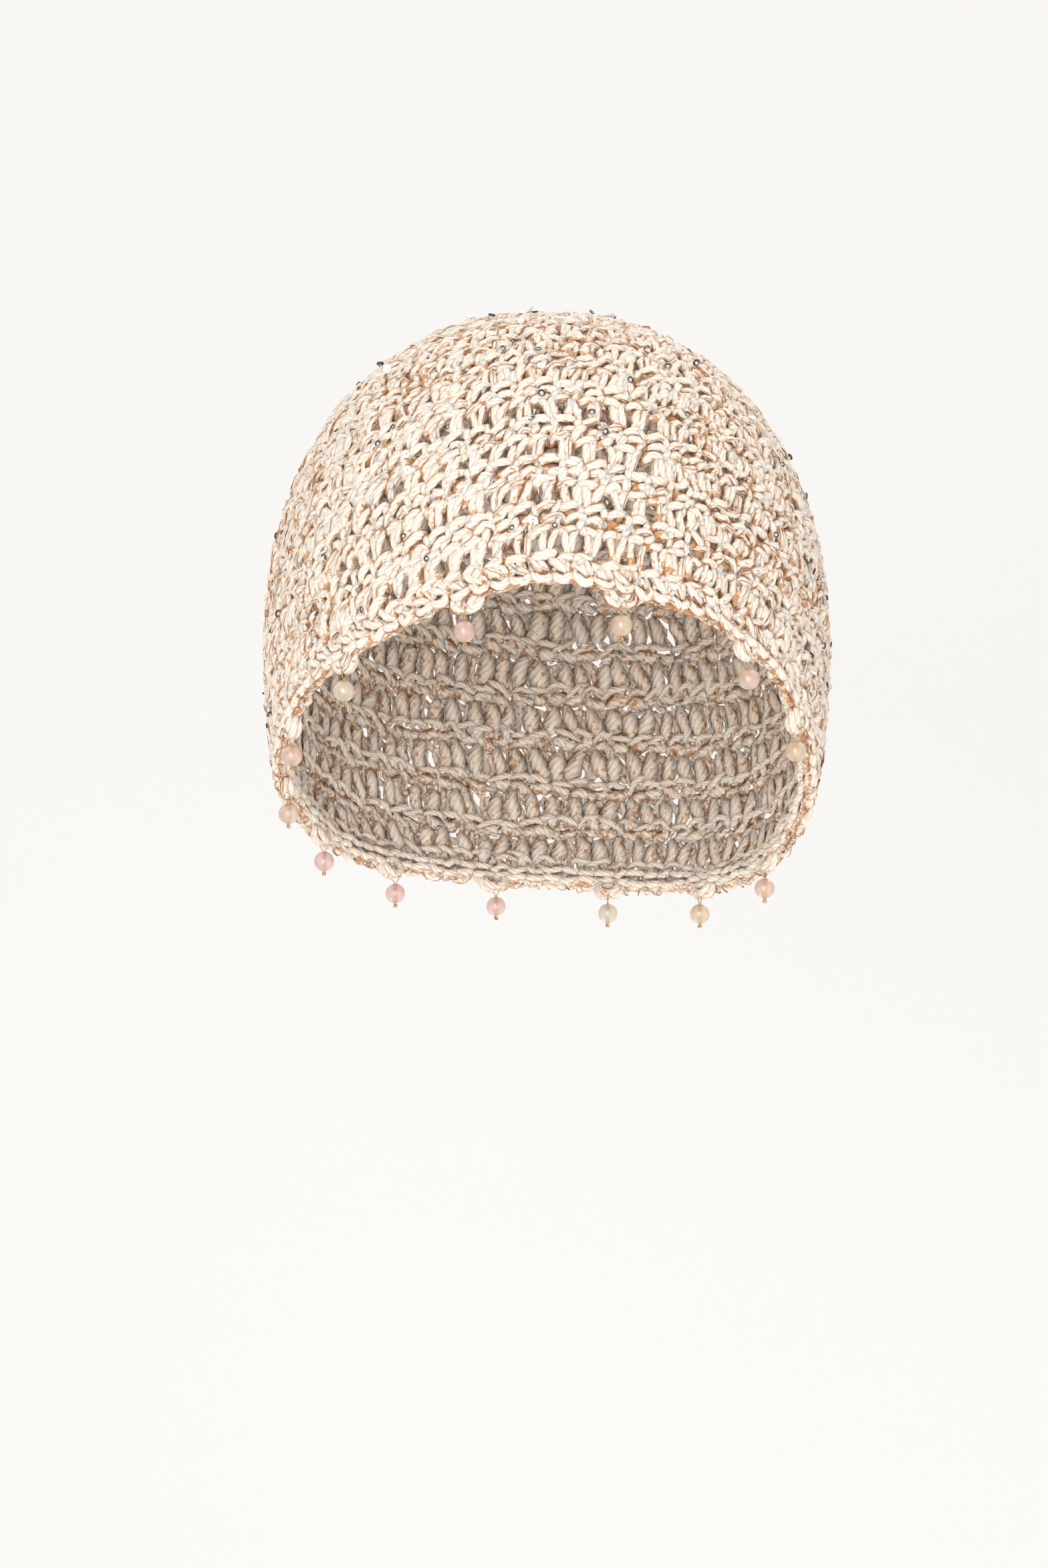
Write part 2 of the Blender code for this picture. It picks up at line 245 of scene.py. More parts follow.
def sweep(strands):
    """Closed tubes along a set of strands, with how deep in the wall their outer sides lie, for the
    yarn's painted shade.
    """
    centres = strands["centres"]
    sides = strands.get("sides", YARN_SIDES)
    paths, steps, _ = centres.shape
    angle = np.arange(sides) / sides * 2 * math.pi
    wide = strands["half_width"][..., None] * np.cos(angle)
    tall = strands["half_thick"][..., None] * np.sin(angle)
    points = centres[:, :, None] + strands["across"][:, :, None] * wide[..., None]
    points = points + strands["over"][:, :, None] * tall[..., None]
    first = np.arange(paths)[:, None] * steps * sides
    here = first[:, :, None] + np.arange(steps - 1)[None, :, None] * sides
    side = np.arange(sides)[None, None, :]
    after = (side + 1) % sides
    quads = np.stack([here + side, here + after, here + sides + after, here + sides + side], axis=-1)
    last = first + (steps - 1) * sides
    caps = np.concatenate([first + np.arange(sides)[::-1], last + np.arange(sides)])
    spans = np.linalg.norm(np.diff(centres, axis=1), axis=2)
    run = np.concatenate([np.zeros((paths, 1)), np.cumsum(spans, axis=1)], axis=1)
    u = np.stack([run[:, :-1], run[:, :-1], run[:, 1:], run[:, 1:]], axis=-1)
    u = np.broadcast_to(u[:, :, None], quads.shape)
    v = np.broadcast_to(np.stack([side, side + 1, side + 1, side], axis=-1) / sides, quads.shape)
    # How deep a point lies sets its painted shade: in full on a strand's outer side, less on its flanks
    # and least on its inner side, and the flanks get a little painted shade of their own.
    place_in_wall = (strands["height"][..., None] + tall) / FABRIC
    facing = np.clip(FLANK_SHADE + FACE_SHADE * np.sin(angle), INNER_SHADE, 1)
    from_faces = np.minimum(-place_in_wall / OUTER_FADE, (1 + place_in_wall) / INNER_FADE)
    depth = np.clip(from_faces, 0, 1) * facing + FLANK_PAINTED_SHADE * (np.abs(np.sin(angle)) < 0.1)
    return {
        "points": points.reshape(-1, 3),
        "quads": quads.reshape(-1, 4),
        "caps": caps,
        "uv": np.stack([u, v], axis=-1).reshape(-1, 2),
        "depth": depth.reshape(-1),
    }


def add_piece(name, sets, finish):
    """One piece from sets of tubes or small shapes, riding on the hat."""
    points = np.concatenate([s["points"] for s in sets])
    shifts = np.cumsum([0] + [len(s["points"]) for s in sets])
    quads = np.concatenate([s["quads"] + shift for s, shift in zip(sets, shifts)])
    caps = [s["caps"] + shift for s, shift in zip(sets, shifts) if "caps" in s]
    corners = np.concatenate([quads.reshape(-1)] + [c.reshape(-1) for c in caps])
    sizes = np.concatenate([np.full(len(quads), 4)] + [np.full(len(c), c.shape[1]) for c in caps])
    uv = np.concatenate([s["uv"] for s in sets] + [np.zeros((c.size, 2)) for c in caps])
    mesh = bpy.data.meshes.new(name)
    mesh.vertices.add(len(points))
    mesh.vertices.foreach_set("co", points.astype(np.float32).reshape(-1))
    mesh.loops.add(len(corners))
    mesh.loops.foreach_set("vertex_index", corners.astype(np.int32))
    mesh.polygons.add(len(sizes))
    mesh.polygons.foreach_set("loop_start", (np.cumsum(sizes) - sizes).astype(np.int32))
    mesh.polygons.foreach_set("loop_total", sizes.astype(np.int32))
    mesh.uv_layers.new(name="yarn").data.foreach_set("uv", uv.astype(np.float32).reshape(-1))
    # Each point's depth, which the yarn's material paints as shade.
    if "depth" in sets[0]:
        depth = np.concatenate([s["depth"] for s in sets]).astype(np.float32)
        mesh.attributes.new("depth", "FLOAT", "POINT").data.foreach_set("value", depth)
    mesh.update(calc_edges=True)
    mesh.polygons.foreach_set("use_smooth", np.ones(len(sizes), dtype=bool))
    mesh.materials.append(finish)
    piece = bpy.data.objects.new(name, mesh)
    bpy.context.scene.collection.objects.link(piece)
    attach(piece, BODY)
    triangles = int((sizes - 2).sum())
    print(name, triangles, "triangles")
    return piece


def linear(hex_colour):
    """An sRGB hex colour as the linear colour that a shader takes."""
    parts = [int(hex_colour[i:i + 2], 16) / 255 for i in (1, 3, 5)]
    return (*[p / 12.92 if p <= 0.04045 else ((p + 0.055) / 1.055) ** 2.4 for p in parts], 1.0)


def add_node(tree, kind, inputs=(), **settings):
    """A node with its settings; each input is a value, or the output that it is linked from."""
    node = tree.nodes.new(kind)
    for key, value in settings.items():
        setattr(node, key, value)
    for key, value in dict(inputs).items():
        if isinstance(value, bpy.types.NodeSocket):
            tree.links.new(value, node.inputs[key])
        else:
            node.inputs[key].default_value = value
    return node


def set_ramp(node, stops):
    """The places and hex colours of a colour ramp."""
    elements = node.color_ramp.elements
    while len(elements) < len(stops):
        elements.new(0.5)
    for element, (place, colour) in zip(elements, stops):
        element.position = place
        element.color = linear(colour)


# Plied cotton yarn, softly mercerised: matt with a slight sheen, and lined along its length by the
# grooves between its plies. The grooves are painted tan, partly the metallic ply and partly painted
# shade; the deep places, flanks and closed sides are painted copper-brown, partly random copper patches
# and partly painted shade. Its fibres are a fiftieth of a millimetre thick, and are drawn coarse enough
# to show.
PLIES = 6
PLY_TURN_LENGTH = 0.016
BLOTCH_SIZE = 6.667
FIBRE_TUFT_SIZE = 0.909
DEEP_PATCH_SIZE = 1.786
DEEP_PATCHES = 2.6

cotton = bpy.data.materials.new("plied_cotton_yarn")
cotton.use_nodes = True
tree = cotton.node_tree
shader = tree.nodes["Principled BSDF"]
uv = add_node(tree, "ShaderNodeUVMap", uv_map="yarn")
split = add_node(tree, "ShaderNodeSeparateXYZ", {"Vector": uv.outputs["UV"]})
twist = add_node(
    tree, "ShaderNodeMath",
    {0: split.outputs["X"], 1: math.pi * PLIES / PLY_TURN_LENGTH}, operation="MULTIPLY",
)
phase = add_node(
    tree, "ShaderNodeMath",
    {0: split.outputs["Y"], 1: math.pi * PLIES, 2: twist.outputs[0]}, operation="MULTIPLY_ADD",
)
wave = add_node(tree, "ShaderNodeMath", {0: phase.outputs[0]}, operation="SINE")
ply = add_node(tree, "ShaderNodeMath", {0: wave.outputs[0]}, operation="ABSOLUTE")
place = add_node(tree, "ShaderNodeTexCoord")
blotches = add_node(tree, "ShaderNodeTexNoise", {
    "Vector": place.outputs["Object"], "Scale": 1 / (BLOTCH_SIZE * MM), "Detail": 3.0,
    "Roughness": 0.6,
})
fibres = add_node(tree, "ShaderNodeTexNoise", {
    "Vector": place.outputs["Object"], "Scale": 1 / (FIBRE_TUFT_SIZE * MM), "Detail": 3.0,
    "Roughness": 0.7,
})
tint = add_node(tree, "ShaderNodeValToRGB", {"Fac": blotches.outputs["Fac"]})
set_ramp(tint, [(0.34, "#F4E9D5"), (0.48, "#F2E6D9"), (0.64, "#F0DECE")])
# Painted shade in the grooves between the plies, partly the tan of the metallic ply, broken up by the
# fibres.
groove = add_node(
    tree, "ShaderNodeMapRange",
    {"Value": ply.outputs[0], "From Min": 0.4, "From Max": 0.05, "To Max": 1.1},
)
groove_shade_and_tan = add_node(
    tree, "ShaderNodeMath",
    {0: groove.outputs["Result"], 1: fibres.outputs["Fac"]}, operation="MULTIPLY",
)
lined = add_node(
    tree, "ShaderNodeMix",
    {"Factor": groove_shade_and_tan.outputs[0], "A": tint.outputs["Color"], "B": linear("#CFA981")},
    data_type="RGBA",
)
# Painted shade in the wall's deep places, on the flanks and at the closed sides, read from each point's
# depth; random copper patches add to it, and both are mixed to copper-brown.
depth = add_node(tree, "ShaderNodeAttribute", attribute_name="depth")
patches = add_node(tree, "ShaderNodeTexNoise", {
    "Vector": place.outputs["Object"], "Scale": 1 / (DEEP_PATCH_SIZE * MM), "Detail": 3.0,
    "Roughness": 0.6,
})
deep = add_node(
    tree, "ShaderNodeMath",
    {0: patches.outputs["Fac"], 1: DEEP_PATCHES, 2: depth.outputs["Fac"]},
    operation="MULTIPLY_ADD",
)
copper_and_shade_mask = add_node(
    tree, "ShaderNodeMapRange",
    {"Value": deep.outputs[0], "From Min": 1.64, "From Max": 1.84, "To Max": 0.85},
)
colour = add_node(
    tree, "ShaderNodeMix",
    {"Factor": copper_and_shade_mask.outputs["Result"], "A": lined.outputs["Result"], "B": linear("#C68540")},
    data_type="RGBA",
)
tree.links.new(colour.outputs["Result"], shader.inputs["Base Color"])
relief = add_node(
    tree, "ShaderNodeMath",
    {0: fibres.outputs["Fac"], 1: 0.5, 2: ply.outputs[0]}, operation="MULTIPLY_ADD",
)
bump = add_node(
    tree, "ShaderNodeBump", {"Height": relief.outputs[0], "Strength": 0.8, "Distance": 0.00025}
)
tree.links.new(bump.outputs["Normal"], shader.inputs["Normal"])
shader.inputs["Roughness"].default_value = 0.62
shader.inputs["Subsurface Weight"].default_value = 0.5
shader.inputs["Subsurface Radius"].default_value = (0.0014, 0.0012, 0.0010)
shader.inputs["Subsurface Scale"].default_value = 1.0
shader.inputs["Sheen Weight"].default_value = 0.2
shader.inputs["Sheen Roughness"].default_value = 0.5

# The stitches. Each is a few strands of that yarn: two legs, what wraps and bars them, and the
# loops of the band over them. They are drawn once in millimetres, and each one is then loosened,
# leant, tilted and sized by its own seeded draws.
ROUNDS = 13
FIRST_ROUND_RISE = 0.22
FEWEST_STITCHES = 7
UNEVEN_SPACING = 0.05
STITCH_WIDTH = 6.5
ROUND_HEIGHT = 13.7
STITCH = {
    # strand: (steps, sides, width, thickness, [(across, up, out) in mm from the stitch's foot on
    #          the fabric's outside])
    "left_leg": (7, 6, 2.5, 2.3, [
        (-0.4, -2.4, -3.2),
        (-0.8, -0.8, -1.7),
        (-0.85, 1.5, -1.0),
        (-0.8, 3.6, -0.9),
        (-0.7, 5.4, -1.2),
        (-0.1, 7.2, -2.7),
    ]),
    "right_leg": (7, 6, 2.5, 2.3, [
        (0.9, -2.0, -3.1),
        (0.95, -0.4, -1.6),
        (0.85, 1.8, -0.8),
        (1.0, 3.7, -0.8),
        (1.7, 5.5, -1.2),
        (3.1, 6.9, -2.7),
    ]),
    "filler": (6, 6, 3.8, 1.8, [
        (4.1, -1.3, -2.7),
        (3.5, 0.7, -1.3),
        (3.3, 2.8, -0.9),
        (3.2, 4.8, -1.2),
        (2.9, 6.4, -2.7),
    ]),
    "inner_post": (5, 4, 6.4, 1.4, [
        (3.4, -1.8, -3.3),
        (3.2, 1.0, -3.2),
        (3.2, 4.0, -3.2),
        (3.1, 7.4, -3.3),
    ]),
    "wrap": (7, 6, 2.8, 1.8, [
        (-4.4, 4.1, -2.7),
        (-3.3, 5.2, -1.1),
        (-1.5, 5.9, -0.6),
        (0.4, 6.5, -0.9),
        (1.8, 7.7, -2.5),
    ]),
    "slant": (6, 6, 2.5, 1.7, [
        (2.0, 5.4, -2.6),
        (2.5, 7.2, -1.0),
        (3.2, 9.0, -0.7),
        (4.4, 10.7, -2.3),
    ]),
    "bar": (7, 6, 2.7, 1.8, [
        (-1.7, 7.6, -2.6),
        (-0.5, 8.7, -1.0),
        (1.5, 9.3, -0.7),
        (3.3, 8.7, -1.0),
        (4.6, 7.4, -2.5),
    ]),
    "front_loop": (7, 6, 2.8, 1.9, [
        (-3.9, 10.6, -2.8),
        (-2.6, 11.4, -1.1),
        (-0.6, 12.2, -0.4),
        (1.4, 12.9, -0.6),
        (3.3, 13.6, -2.8),
    ]),
    "stem": (6, 6, 2.3, 1.7, [
        (2.5, 8.8, -2.6),
        (2.9, 10.5, -1.1),
        (3.0, 12.2, -0.8),
        (2.8, 13.9, -2.4),
    ]),
    "backing": (5, 4, 5.4, 1.5, [
        (-3.4, 9.4, -2.8),
        (-1.2, 9.6, -2.3),
        (1.2, 9.6, -2.3),
        (3.4, 9.4, -2.8),
    ]),
    "back_loop": (6, 5, 2.4, 2.0, [
        (-3.9, 12.2, -3.2),
        (-1.6, 12.7, -4.0),
        (1.3, 12.8, -4.0),
        (3.8, 12.1, -3.3),
    ]),
}
PLACE_JITTER = 0.34
OUTWARD_PART = 0.7
SHIFT_JITTER = 0.4
SHIFT_PARTS = (1, 0.7, 0)
TILT_JITTER = 0.18
TILT_AT_SIDES = 0.35
SWAY_JITTER = 0.13
LOOSER_AT_SIDES = 0.4
LEAN = 1.4
LEAN_AT_FRONT = 0.35
LEAN_TO_SIDES = 0.4
LEAN_JITTER = 0.5
LEAN_MIDDLE = 4
LEAN_TOP = 9
SIZE_JITTER = 0.08
LIFT_JITTER = 0.22
LUMP_JITTER = 0.09
SIDE_SHADE_DROP = 0.22
FINER_AT_SIDES = 0.18
NARROWEST = 0.35
WIDEST = 1.5
TOP_OF_LAST_ROUND = 0.998

chance = np.random.default_rng(7)
stitch_rounds, stitch_places, stitch_counts, round_shares = [], [], [], []
for row in range(-1, ROUNDS):
    rise = max(row + FIRST_ROUND_RISE + 0.5, 0) / (ROUNDS + FIRST_ROUND_RISE)
    level = crown_share.mean() * (1 - rise)
    spacing = np.roll(column_spacing[:, round(level * (LEVELS - 1))], -1)
    count = max(FEWEST_STITCHES, round(spacing.sum() / (STITCH_WIDTH * MM)))
    stitch_rounds.append(np.full(count, row))
    places = np.arange(count) + chance.uniform() + chance.normal(0, UNEVEN_SPACING, count)
    stitch_places.append(places / count)
    stitch_counts.append(np.full(count, count))
    round_shares.append(np.concatenate([[0], np.cumsum(spacing)]) / spacing.sum())
stitch_round = np.concatenate(stitch_rounds)
stitch_place = np.concatenate(stitch_places)
stitch_count = np.concatenate(stitch_counts)


def turn_on_round(place):
    """The turns at these shares of the length of each stitch's own round."""
    turn = np.empty_like(place)
    for row, shares in enumerate(round_shares, -1):
        picks = stitch_round == row
        turn[picks] = np.interp(place[picks] % 1, shares, np.linspace(0, 1, COLUMNS + 1))
    return turn


stitch_turn = turn_on_round(stitch_place)
side_way = np.sin(2 * math.pi * stitch_turn)
side_tilt = TILT_AT_SIDES * side_way
stitch_lean = LEAN * (LEAN_AT_FRONT - LEAN_TO_SIDES * side_way)
stitch_lean = stitch_lean + chance.normal(0, LEAN_JITTER, len(stitch_round))
stitch_size = chance.normal(1, SIZE_JITTER, len(stitch_round))
stitch_lift = chance.normal(0, LIFT_JITTER, len(stitch_round))


OPEN_MIDDLE = 0.035
OPEN_FROM = 0.76
OPEN_BLEND = 0.16
OPEN_ROUNDS = 4.4
OPEN_ROUNDS_BLEND = 1.6
RIPPLES = [
    # height in mm, waves in a round, shift from each round to the next
    (0.45, 3, 0.37),
    (0.3, 11, 0.61),
]


def closed_share(turn, row):
    """0 at the front of the lower rounds, where the gaps stand open, and 1 elsewhere."""
    to_front = np.cos(2 * math.pi * (turn + OPEN_MIDDLE))
    at_front = np.clip((to_front - OPEN_FROM) / OPEN_BLEND, 0, 1)
    return 1 - at_front * np.clip((OPEN_ROUNDS - row) / OPEN_ROUNDS_BLEND, 0, 1)


def ripple(turn, row):
    """How far a round wanders up and down on its way, in mm."""
    return sum(
        high * np.sin(2 * math.pi * (waves * turn + shift * row)) for high, waves, shift in RIPPLES
    )


def lay_strand(steps, sides, width, thickness, rows):
    """One strand of every stitch, laid on the fabric."""
    looser = 1 + LOOSER_AT_SIDES * closed_share(stitch_turn, stitch_round)[:, None]
    jitter = chance.normal(0, PLACE_JITTER, (len(stitch_round), len(rows), 3))
    jitter = jitter * (1, 1, OUTWARD_PART)
    shift = chance.normal(0, SHIFT_JITTER, (len(stitch_round), 1, 3)) * SHIFT_PARTS
    jitter = (jitter + shift) * looser[..., None]
    tilt = chance.normal(0, TILT_JITTER, (len(stitch_round), 1)) * looser - side_tilt[:, None]
    rows = np.array(rows) + jitter
    sway = chance.normal(0, SWAY_JITTER, (len(stitch_round), 1)) * looser
    middle = rows.mean(axis=1, keepdims=True)
    rows[..., :2] += np.stack([
        sway * (rows[..., 1] - middle[..., 1]), tilt * (rows[..., 0] - middle[..., 0])
    ], axis=-1)
    path = smooth_path(rows, steps)
    leaning = (np.minimum(path[..., 1], LEAN_TOP) - LEAN_MIDDLE) / (LEAN_TOP - LEAN_MIDDLE)
    x = path[..., 0] + stitch_lean[:, None] * leaning
    turn = turn_on_round(stitch_place[:, None] + x / STITCH_WIDTH / stitch_count[:, None])
    y = path[..., 1] + ripple(turn, stitch_round[:, None])
    up = (stitch_round[:, None] + FIRST_ROUND_RISE + y / ROUND_HEIGHT) / (ROUNDS + FIRST_ROUND_RISE)
    level = read_round(crown_share, turn) * (1 - np.minimum(up, TOP_OF_LAST_ROUND))
    height = (path[..., 2] + stitch_lift[:, None]) * MM
    centres, out = on_fabric(turn, level, height)
    pitch = np.interp(level, down_share, round_lengths) / stitch_count[:, None]
    narrow = np.clip(pitch / (STITCH_WIDTH * MM), NARROWEST, WIDEST) * stitch_size[:, None]
    closed = closed_share(turn, stitch_round[:, None])
    narrow = narrow * (1 - FINER_AT_SIDES * closed)
    narrow = narrow * chance.normal(1, LUMP_JITTER, narrow.shape)
    # At the closed sides and back, strands count as lying deeper, only for more painted shade there.
    shade_height = height - SIDE_SHADE_DROP * MM * closed
    laid = strand(centres, out, width * MM * narrow, thickness * MM * np.sqrt(narrow), shade_height)
    return {**laid, "sides": sides}


strands = {name: lay_strand(*row) for name, row in STITCH.items()}


def chosen(laid, picks):
    """Some of a set of strands."""
    return {key: values if key == "sides" else values[picks] for key, values in laid.items()}


FILLED_FROM = 0.4
CROWN_PARTS = [
    # name, first and last round above the rim
    ("crown_brow_rounds", -1, 1),
    ("crown_side_rounds", 2, 3),
    ("crown_shoulder_rounds", 4, 6),
    ("crown_top_rounds", 7, 12),
]
for name, first, last in CROWN_PARTS:
    sets = []
    for kind, laid in strands.items():
        lowest = first if kind in ("front_loop", "back_loop") else max(first, 0)
        picks = (stitch_round >= lowest) & (stitch_round <= last)
        if kind in ("filler", "inner_post"):
            picks = picks & (closed_share(stitch_turn, stitch_round) > FILLED_FROM)
        sets.append(sweep(chosen(laid, picks)))
    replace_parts(add_piece(name, sets, cotton), "crown")


# The metallic thread. A fine copper-coloured filament that runs with the yarn, comes to its surface
# here and there, and stands off it in small loops. Its colour runs from dark copper to pale gold in
# small patches along it: painted glints over its own metal shine.
SHIMMER_SIZE = 2.381

copper = bpy.data.materials.new("copper_lurex_thread")
copper.use_nodes = True
tree = copper.node_tree
shader = tree.nodes["Principled BSDF"]
place = add_node(tree, "ShaderNodeTexCoord")
shimmer = add_node(tree, "ShaderNodeTexNoise", {
    "Vector": place.outputs["Object"], "Scale": 1 / (SHIMMER_SIZE * MM), "Detail": 1.0,
})
# Painted glints: dark copper to pale gold by the noise along the thread.
tint = add_node(tree, "ShaderNodeValToRGB", {"Fac": shimmer.outputs["Fac"]})
set_ramp(tint, [(0.36, "#9A5F34"), (0.5, "#C98A55"), (0.66, "#EAC594")])
tree.links.new(tint.outputs["Color"], shader.inputs["Base Color"])
shader.inputs["Metallic"].default_value = 0.7
shader.inputs["Roughness"].default_value = 0.34

METAL_THREAD = 0.00023
THREADS_IN_BUNDLE = 2
BUNDLE_STEP = 0.24
BUNDLE_LENGTH = 5
BUNDLE_ANGLES = (0.0, 0.7)
SINGLE_LENGTH = 8
SINGLE_ANGLES = (0.4, 1.5)
THREAD_SIDES = 3
THREAD_STANDS_OFF = 0.4
THREAD_DRIFT = 0.6
THREAD_WAVER = 0.07
MORE_AT_SIDES = 0.7
LOWER_ROUNDS = 4
THREADED = {
    # strand: (share that shows one thread on its face, share that shows a bundle on its flank)
    "left_leg": (0.3, 0.25),
    "right_leg": (0.3, 0.25),
    "wrap": (0.35, 0.2),
    "slant": (0.25, 0.15),
    "bar": (0.25, 0.15),
    "front_loop": (0.3, 0.1),
}


def threads_on(laid, share, count, angles, length):
    """Fine threads side by side, along part of some of these strands and to either side."""
    s = chosen(laid, chance.random(len(laid["centres"])) < share)
    paths, steps, _ = s["centres"].shape
    length = min(length, steps)
    first = chance.integers(0, steps - length + 1, paths)
    part = (np.arange(paths)[:, None], first[:, None] + np.arange(length))
    start = chance.uniform(*angles, (paths, 1))
    mirrored = math.pi - start - (count - 1) * BUNDLE_STEP
    start = np.where(chance.random((paths, 1)) < 0.5, start, mirrored)
    drift = chance.normal(0, THREAD_DRIFT, (paths, 1)) * np.linspace(-0.5, 0.5, length)
    reach = METAL_THREAD * THREAD_STANDS_OFF
    sets = []
    for thread in range(count):
        waver = chance.normal(0, THREAD_WAVER, (paths, length))
        angle = start + drift + thread * BUNDLE_STEP + waver
        out = (
            s["across"][part] * (np.cos(angle) * (s["half_width"][part] + reach))[..., None]
            + s["over"][part] * (np.sin(angle) * (s["half_thick"][part] + reach))[..., None]
        )
        line = s["centres"][part] + out
        thin = strand(line, s["over"][part], METAL_THREAD, METAL_THREAD, 0.0, 1.0)
        sets.append(sweep({**thin, "sides": THREAD_SIDES}))
    return sets


def threads_in_yarn(laid, shown, bundled):
    """The single threads on the faces of these strands, and the bundles on their flanks."""
    return threads_on(laid, shown, 1, SINGLE_ANGLES, SINGLE_LENGTH) + threads_on(
        laid, bundled, THREADS_IN_BUNDLE, BUNDLE_ANGLES, BUNDLE_LENGTH
    )


is_lower = stitch_round < LOWER_ROUNDS
for name, picks in (("lower_metallic_thread", is_lower), ("upper_metallic_thread", ~is_lower)):
    more = 1 + MORE_AT_SIDES * closed_share(stitch_turn[picks], stitch_round[picks])
    thread_sets = []
    for kind, (shown, bundled) in THREADED.items():
        thread_sets += threads_in_yarn(chosen(strands[kind], picks), shown, bundled * more)
    add_piece(name, thread_sets, copper)


# The edging. A row of slip stitches worked round the rim in the same yarn: each shows two arms
# that meet in a point, with a crossing strand and a riser over them, and the lower arms make the
# rim's edge softly scalloped. Three more strands close it below and inside.
EDGING_STITCHES = 98
EDGING_DRAWN_WIDTH = 6
EDGING_JITTER = 0.48
LOWER_ARM_JITTER = 0.26
EDGING = {
    # strand: (steps, width, thickness, [(along, above the edge, out) in mm, for a stitch that is
    #          drawn 6 mm wide])
    "lower_arm": (10, 2.6, 2.3, [
        (0.1, 3.8, -3.0),
        (0.7, 2.5, -1.4),
        (1.9, 1.4, -0.5),
        (3.3, 1.05, -0.3),
        (4.7, 1.4, -0.5),
        (5.6, 2.5, -1.4),
        (6.0, 3.8, -3.0),
    ]),
    "upper_arm": (8, 2.5, 2.1, [
        (-0.8, 7.1, -2.9),
        (0.0, 6.1, -1.2),
        (1.4, 4.9, -0.4),
        (3.0, 3.9, -0.6),
        (4.4, 3.3, -1.5),
        (5.2, 3.1, -2.8),
    ]),
    "crossing": (7, 2.2, 1.9, [
        (0.4, 3.4, -2.6),
        (1.2, 4.2, -1.1),
        (2.4, 5.6, -0.8),
        (3.0, 7.0, -1.2),
        (3.2, 8.0, -2.8),
    ]),
    "riser": (6, 2.2, 2.0, [
        (3.2, 7.6, -2.8),
        (3.3, 6.4, -1.3),
        (4.1, 5.0, -0.9),
        (5.0, 3.8, -1.7),
        (5.5, 2.6, -2.8),
    ]),
    "inner_arm": (6, 2.3, 2.0, [
        (-1.0, 4.6, -4.2),
        (1.5, 4.0, -4.6),
        (4.5, 4.0, -4.6),
        (7.0, 4.6, -4.2),
    ]),
    "under_edge": (6, 2.2, 2.0, [
        (-1.0, 1.7, -2.3),
        (1.5, 1.2, -2.2),
        (4.5, 1.2, -2.2),
        (7.0, 1.7, -2.3),
    ]),
    "inner_edge": (6, 2.3, 2.2, [
        (-1.0, 1.9, -3.4),
        (1.6, 1.4, -3.9),
        (4.4, 1.4, -3.9),
        (7.0, 1.9, -3.4),
    ]),
}
edging_turn = (np.arange(EDGING_STITCHES) + 0.1) / EDGING_STITCHES
edging_pitch = rim_lengths[-1] / EDGING_STITCHES


def on_rim(turn, rise, height):
    """Points this far above the rim's edge, square to it, and over the fabric's outside."""
    level = 1 - rise / read_round(rim_slant, turn) / read_round(meridian_length, turn)
    return on_fabric(turn, level, height)


edging_strands = {}
for kind, (steps, width, thickness, rows) in EDGING.items():
    loose = LOWER_ARM_JITTER if kind == "lower_arm" else EDGING_JITTER
    jitter = chance.normal(0, loose, (EDGING_STITCHES, len(rows), 3)) * (1, 1, OUTWARD_PART)
    path = smooth_path(np.array(rows) + jitter, steps) * MM
    along = path[..., 0] * (edging_pitch / (EDGING_DRAWN_WIDTH * MM))
    turn = edging_turn[:, None] + along / rim_lengths[-1]
    centres, out = on_rim(turn, path[..., 1], path[..., 2])
    edging_strands[kind] = strand(centres, out, width * MM, thickness * MM, path[..., 2])
edging_sets = [sweep(laid) for laid in edging_strands.values()]


# The picots. Little loops of the same yarn, closed on the edging about every seventh stitch; each
# is a loop of fat arms round a smaller inner loop, and its bead's thread comes out at its lowest
# point. Their places are shares of the rim's length from the front towards +X.
FRONT_PICOTS = [-0.2657, -0.1986, -0.1250, -0.0429, 0.0364, 0.1207, 0.1864]
FIRST_BACK_PICOT = 0.325
BACK_PICOTS = 6
PICOTS = len(FRONT_PICOTS) + BACK_PICOTS
PICOT_HALF_WIDTH = 0.0039
PICOT_HALF_DROP = 0.0026
PICOT_YARN = 0.0022
PICOT_REACH = 0.004
PICOT_STEPS = 9
PICOT_JITTER = (3, 0.04, 0.12)
PICOT_HEIGHT = -0.2
back_turns = np.linspace(FIRST_BACK_PICOT, FRONT_PICOTS[0] + 1, BACK_PICOTS + 1)[:-1]
picot_turn = np.concatenate([FRONT_PICOTS, back_turns])
middle, picot_out = on_rim(
    picot_turn, np.full(PICOTS, EDGING_HEIGHT / 2), np.full(PICOTS, -FABRIC / 2)
)
picot_along = unit(read_round(rim_along, picot_turn))
picot_down = unit(np.cross(picot_along, picot_out))
lowest_yarn = EDGING_HEIGHT / 2 + PICOT_REACH - PICOT_YARN / 2
picot_centre = middle + picot_down * (lowest_yarn - PICOT_HALF_DROP)
across = picot_along * PICOT_HALF_WIDTH
drop = picot_down * PICOT_HALF_DROP
pull = unit(np.stack([across[:, 2], drop[:, 2]], axis=1))
lowest_angle = np.arctan2(-pull[:, 0], -pull[:, 1])
